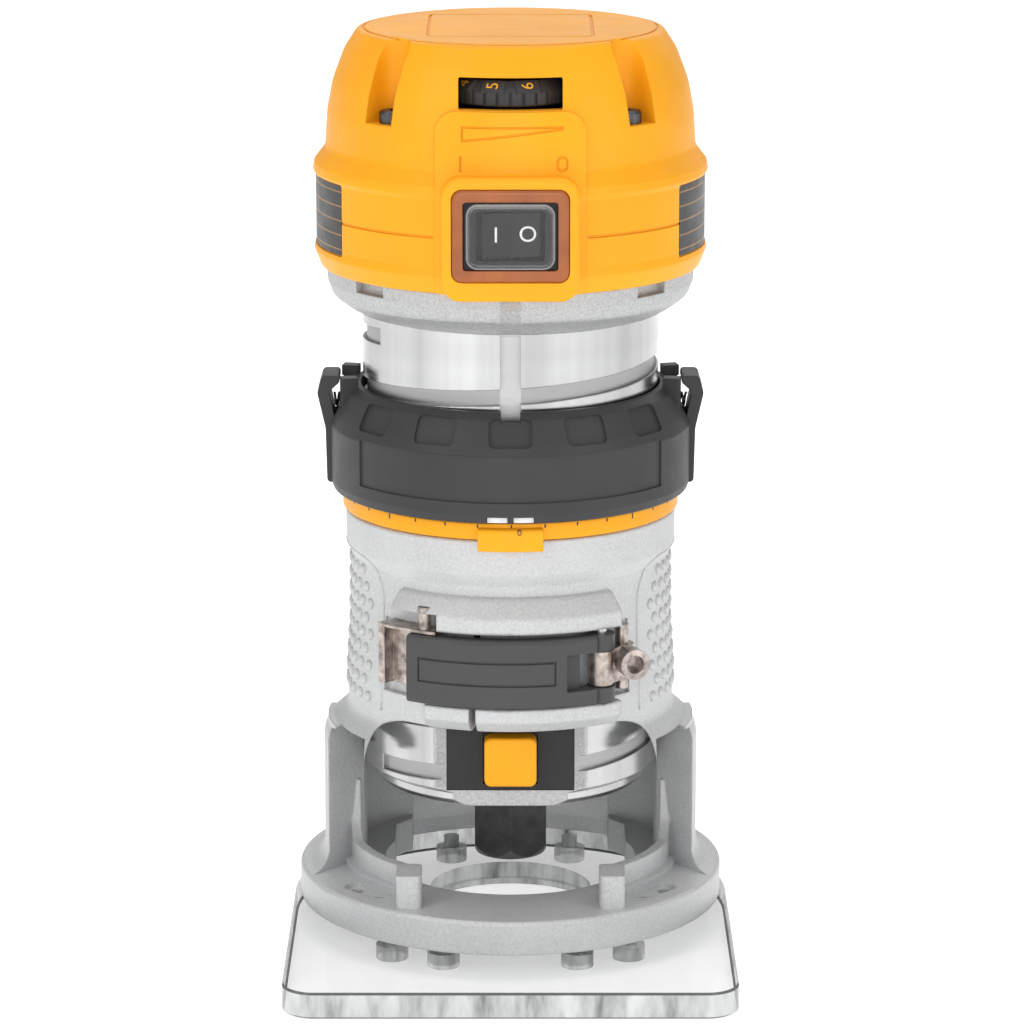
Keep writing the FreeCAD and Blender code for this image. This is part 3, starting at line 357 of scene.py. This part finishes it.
FINISH = {
    cast: ["fixed_base"],
    acrylic: ["sub_base"],
    motor: ["motor_housing"],
    yellow: ["top_cap", "index_ring", "lock_button"],
    dark_grey: ["depth_ring", "right_release_tab", "left_release_tab", "fan_baffle", "cooling_fan",
                "bearing_bridge", "speed_dial"],
    lever_grey: ["clamp_lever"],
    insert_grey: ["lock_insert", "dial_axle", "speed_control_module"],
    switch_black: ["switch_body", "switch_rocker"],
    burnished: ["clamp_strap", "clamp_link", "clamp_nut", "trunnion_pin", "anchor_pin", "clamp_screw",
                "bearing_retainer"],
    steel: ["lever_pivot_pin", "tab_pins", "lower_bearing", "upper_bearing", "retainer_screws",
            "stator_core", "armature_core", "spindle", "collet", "lock_spring", "brush_springs"],
    whitened_steel_highlight: ["sub_base_screws"],
    # The tab springs take this dark steel as painted shade, so that they sink into the shade where they
    # sit.
    dark_screw_and_spring_shade: ["cap_screws", "right_tab_spring", "left_tab_spring"],
    oxide: ["collet_nut"],
    cover_clear: ["switch_dust_cover"],
    amber: ["switch_frame"],
    film: ["side_labels"],
    rubber: ["spindle_dust_seal", "cord_inlet", "carbon_brushes"],
    copper_wire: ["stator_windings", "armature_windings", "commutator", "brush_holders"],
}
for material, names in FINISH.items():
    for name in names:
        mesh = NODES[name].data
        mesh.materials.clear()
        mesh.materials.append(material)


# ---------------------------------------------------------------- mesh helpers
def polar(radius, degrees, z=0.0):
    """A point in metres at an angle from the front (-Y), positive towards +X. Sizes are in mm."""
    a = math.radians(degrees)
    return Vector((radius * math.sin(a), -radius * math.cos(a), z)) * MM


def finish_piece(mesh_builder, name, body, material, smooth=True):
    mesh = bpy.data.meshes.new(name)
    mesh_builder.to_mesh(mesh)
    mesh_builder.free()
    for face in mesh.polygons:
        face.use_smooth = smooth
    piece = bpy.data.objects.new(name, mesh)
    bpy.context.collection.objects.link(piece)
    mesh.materials.append(material)
    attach(piece, body)
    return piece


def facing(point, outward):
    """A matrix whose z axis is outward and whose y axis is as near to upright as it can be."""
    z = outward.normalized()
    x = Vector((0, 0, 1)).cross(z).normalized()
    y = z.cross(x)
    turn = Matrix((x, y, z)).transposed().to_4x4()
    return Matrix.Translation(point) @ turn


def dome(builder, matrix, radius, height, rings=4, around=12):
    """A low cap on the local XY plane."""
    rows = []
    for i in range(rings):
        a = math.pi / 2 * i / rings
        row = []
        for k in range(around):
            t = 2 * math.pi * k / around
            row.append(builder.verts.new(matrix @ Vector((radius * math.cos(a) * math.cos(t),
                                                          radius * math.cos(a) * math.sin(t),
                                                          height * math.sin(a)))))
        rows.append(row)
    top = builder.verts.new(matrix @ Vector((0, 0, height)))
    for low, high in zip(rows, rows[1:]):
        for k in range(around):
            builder.faces.new((low[k], low[(k + 1) % around], high[(k + 1) % around], high[k]))
    for k in range(around):
        builder.faces.new((rows[-1][k], rows[-1][(k + 1) % around], top))
    builder.faces.new(list(reversed(rows[0])))


def band(builder, radius, degrees0, degrees1, z0, z1, thickness=0.06, steps=6):
    """A thin patch wrapped on a cylinder, standing proud of it by its thickness."""
    columns = []
    for i in range(steps + 1):
        d = degrees0 + (degrees1 - degrees0) * i / steps
        columns.append([builder.verts.new(polar(r, d, z)) for r, z in (
            (radius - 0.03, z0), (radius + thickness, z0), (radius + thickness, z1), (radius - 0.03, z1))])
    for a, b in zip(columns, columns[1:]):
        for k in range(4):
            builder.faces.new((a[k], b[k], b[(k + 1) % 4], a[(k + 1) % 4]))
    builder.faces.new(list(reversed(columns[0])))
    builder.faces.new(columns[-1])


def swept_tube(builder, points, radius, around=8):
    """A round bar that follows the points."""
    rows = []
    for i, p in enumerate(points):
        ahead = (points[min(i + 1, len(points) - 1)] - points[max(i - 1, 0)]).normalized()
        side = ahead.cross(Vector((0, 0.3, 1))).normalized()
        other = ahead.cross(side)
        rows.append([builder.verts.new(p + (side * math.cos(t) + other * math.sin(t)) * radius)
                     for t in [2 * math.pi * k / around for k in range(around)]])
    for a, b in zip(rows, rows[1:]):
        for k in range(around):
            builder.faces.new((a[k], a[(k + 1) % around], b[(k + 1) % around], b[k]))
    builder.faces.new(list(reversed(rows[0])))
    builder.faces.new(rows[-1])


def lettering(text, name, matrix, size, depth, body, material):
    curve = bpy.data.curves.new(name, "FONT")
    curve.body = text
    curve.size = size
    curve.extrude = depth
    curve.align_x = "CENTER"
    curve.align_y = "CENTER"
    words = bpy.data.objects.new(name + "_text", curve)
    bpy.context.collection.objects.link(words)
    bpy.context.view_layer.update()
    mesh = bpy.data.meshes.new_from_object(words)
    bpy.data.objects.remove(words)
    mesh.transform(matrix)
    mesh.materials.clear()
    mesh.materials.append(material)
    piece = bpy.data.objects.new(name, mesh)
    bpy.context.collection.objects.link(piece)
    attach(piece, body)
    return piece


# ---------------------------------------------------------------- base details
GRIP_LOW, GRIP_HIGH = 59.5, 91.0


def barrel_radius(z):
    """Outside of the base's barrel, in mm, between the bell and the rim."""
    points = [(53.4, 38.5), (62.5, 38.4), (74.5, 37.6), (90.6, 37.45), (93.4, 38.6)]
    for (z0, r0), (z1, r1) in zip(points, points[1:]):
        if z <= z1:
            return r0 + (r1 - r0) * (z - z0) / (z1 - z0)
    return points[-1][1]


def grip_studs():
    """Rows of low studs that roughen both sides of the casting."""
    builder = bmesh.new()
    pitch, row_height = 6.4, 3.7
    rows = int((GRIP_HIGH - GRIP_LOW) / row_height) + 1
    for row in range(rows):
        z = GRIP_LOW + row_height * row
        for column in range(9):
            degrees = 60 + pitch * column + (pitch / 2 if row % 2 else 0)
            if row == rows - 1 and column < 1:
                continue
            for side in (-1, 1):
                spot = polar(barrel_radius(z) - 0.15, side * degrees, z)
                dome(builder, facing(spot, polar(1, side * degrees)), 1.35 * MM, 0.85 * MM)
    finish_piece(builder, "grip_studs", "base", cast)


def grip_borders():
    """The raised edge that frames each patch of studs."""
    for side, label in ((-1, "left"), (1, "right")):
        builder = bmesh.new()
        front, corner = 51.5, 9.0
        path = []
        for i in range(9):
            path.append((front, GRIP_LOW - 2 + (GRIP_HIGH - 6 - GRIP_LOW) * i / 8))
        for i in range(1, 13):
            a = math.pi / 2 * i / 12
            path.append((front + corner * (1 - math.cos(a)) * 1.5,
                         GRIP_HIGH - 8 + corner * math.sin(a) * 1.1))
        last = path[-1]
        path += [(last[0] + 6.0 * i, last[1] + 0.1 * i) for i in range(1, 9)]
        points = [polar(barrel_radius(z) - 0.12, side * d, z) for d, z in path]
        swept_tube(builder, points, 0.38 * MM)
        finish_piece(builder, label + "_grip_border", "base", cast)


# ---------------------------------------------------------------- index ring and depth ring
def index_marks():
    """Scale lines printed on the index ring, with its zero."""
    builder = bmesh.new()
    divisions = 32
    for step in range(divisions):
        degrees = 0.3 + 360.0 / divisions * step
        low = 104.3 if step % 4 == 0 else 104.8
        band(builder, 39.42, degrees - 0.25, degrees + 0.25, low, 105.6, 0.03, 2)
    finish_piece(builder, "index_marks", "index_ring", black_ink, False)
    spot = polar(40.55, 2.9, 104.0)
    lettering("0", "index_zero", facing(spot, polar(1, 2.9)), 2.1 * MM, 0.12 * MM, "index_ring",
              black_ink)


def ring_windows():
    """Two white strips in the notches under the depth ring, beside its pointer: a painted reflection in
    place of the bright metal seen through the notches.
    """
    builder = bmesh.new()
    for start, end in ((-7.4, -1.0), (1.0, 7.4)):
        band(builder, 40.9, start, end, 106.45, 107.75, 0.1)
    # The white ink here is painted reflection, not print.
    finish_piece(builder, "ring_windows", "depth_ring", white_ink, False)


# ---------------------------------------------------------------- switch and dial
DIAL_CENTRE = Vector((0, -25.4, 203.6)) * MM


def dial_numbers():
    """Numbers 1 to 6 on small raised tiles on the sloping face of the dial."""
    pitch = 35.0
    for value in range(1, 7):
        degrees = -17.5 - pitch * (5 - value)
        a = math.radians(degrees)
        slope = Vector((math.sin(a), -math.cos(a), 0.95)).normalized()
        spot = DIAL_CENTRE + polar(12.75, degrees, 1.72)
        matrix = facing(spot, slope)
        builder = bmesh.new()
        half_w, half_h, rise = 3.0 * MM, 1.75 * MM, 0.28 * MM
        corners = ((-half_w, -half_h), (half_w, -half_h), (half_w, half_h), (-half_w, half_h))
        low = [builder.verts.new(matrix @ Vector((x, y, -0.3 * MM))) for x, y in corners]
        high = [builder.verts.new(matrix @ Vector((x * 0.86, y * 0.86, rise))) for x, y in corners]
        for k in range(4):
            builder.faces.new((low[k], low[(k + 1) % 4], high[(k + 1) % 4], high[k]))
        builder.faces.new(high)
        builder.faces.new(list(reversed(low)))
        finish_piece(builder, "dial_tile_%d" % value, "dial", dark_grey, False)
        turn = matrix @ Matrix.Rotation(math.pi / 2, 4, "Z")
        turn = turn @ Matrix.Translation((0, 0, rise))
        lettering(str(value), "dial_number_%d" % value, turn, 3.9 * MM, 0.05 * MM, "dial",
                  yellow_ink)


def rocker_marks():
    """On and off symbols on the two faces of the rocker."""
    pivot = Vector((0, -43.6, 173.3)) * MM
    tilt = Matrix.Translation(pivot) @ Matrix.Rotation(math.radians(9), 4, "Z") @ Matrix.Translation(-pivot)
    for text, x in (("I", -3.6), ("O", 3.6)):
        matrix = tilt @ facing(Vector((x, -45.62, 173.3)) * MM, Vector((-x * 0.045, -1, 0)))
        lettering(text, "rocker_mark_" + text, matrix, 5.0 * MM, 0.06 * MM, "rocker",
                  white_ink)


# ---------------------------------------------------------------- stage, light and camera
def floor():
    bpy.ops.mesh.primitive_plane_add(size=16, location=(0, 0, -0.0001))
    plane = bpy.context.object
    plane.name = "floor"
    n = Nodes("floor_white")
    tone = n.mix(n.spread(n.noise(2, 2), 0, 1), (0.90, 0.90, 0.90), (0.915, 0.915, 0.915))
    n.set(Base_Color=tone, Roughness=0.8)
    n.shader.inputs["Emission Color"].default_value = (1, 1, 1, 1)
    n.shader.inputs["Emission Strength"].default_value = 0.58
    plane.data.materials.append(n.material)


def softbox(name, place, aim, size, power):
    light = bpy.data.lights.new(name, "AREA")
    light.shape = "RECTANGLE"
    light.size, light.size_y = size
    light.energy = power
    lamp = bpy.data.objects.new(name, light)
    bpy.context.collection.objects.link(lamp)
    lamp.location = place
    lamp.rotation_euler = (Vector(aim) - Vector(place)).to_track_quat("-Z", "Y").to_euler()


def studio():
    world = bpy.data.worlds.new("studio")
    bpy.context.scene.world = world
    world.use_nodes = True
    background = world.node_tree.nodes["Background"]
    background.inputs["Color"].default_value = (1.0, 1.0, 1.0, 1)
    background.inputs["Strength"].default_value = 0.42
    middle = (0, 0, 0.11)
    softbox("key", (-1.1, -1.0, 0.9), middle, (0.5, 1.3), 7)
    softbox("fill", (1.2, -0.9, 0.6), middle, (0.45, 1.3), 4.5)
    softbox("front", (0.05, -1.6, 0.55), middle, (0.35, 0.9), 5)
    softbox("top", (0.0, 0.0, 1.6), middle, (1.6, 1.2), 10)
    softbox("rear", (0.3, 1.5, 0.9), middle, (1.8, 0.8), 5)


def camera():
    """The photograph's viewpoint: in front, a little above, with a long lens."""
    data = bpy.data.cameras.new("camera")
    data.lens = 154.18
    data.sensor_width = 36.0
    data.shift_x = 0.0015
    data.clip_start = 0.01
    data.clip_end = 50
    eye = bpy.data.objects.new("camera", data)
    bpy.context.collection.objects.link(eye)
    eye.location = (0, -1.00558, 0.34305)
    eye.rotation_euler = (math.pi / 2 - 0.2380, 0, 0)
    bpy.context.scene.camera = eye
    bpy.context.scene.view_settings.view_transform = "Standard"


grip_studs()
grip_borders()
index_marks()
ring_windows()
dial_numbers()
rocker_marks()
floor()
studio()
camera()
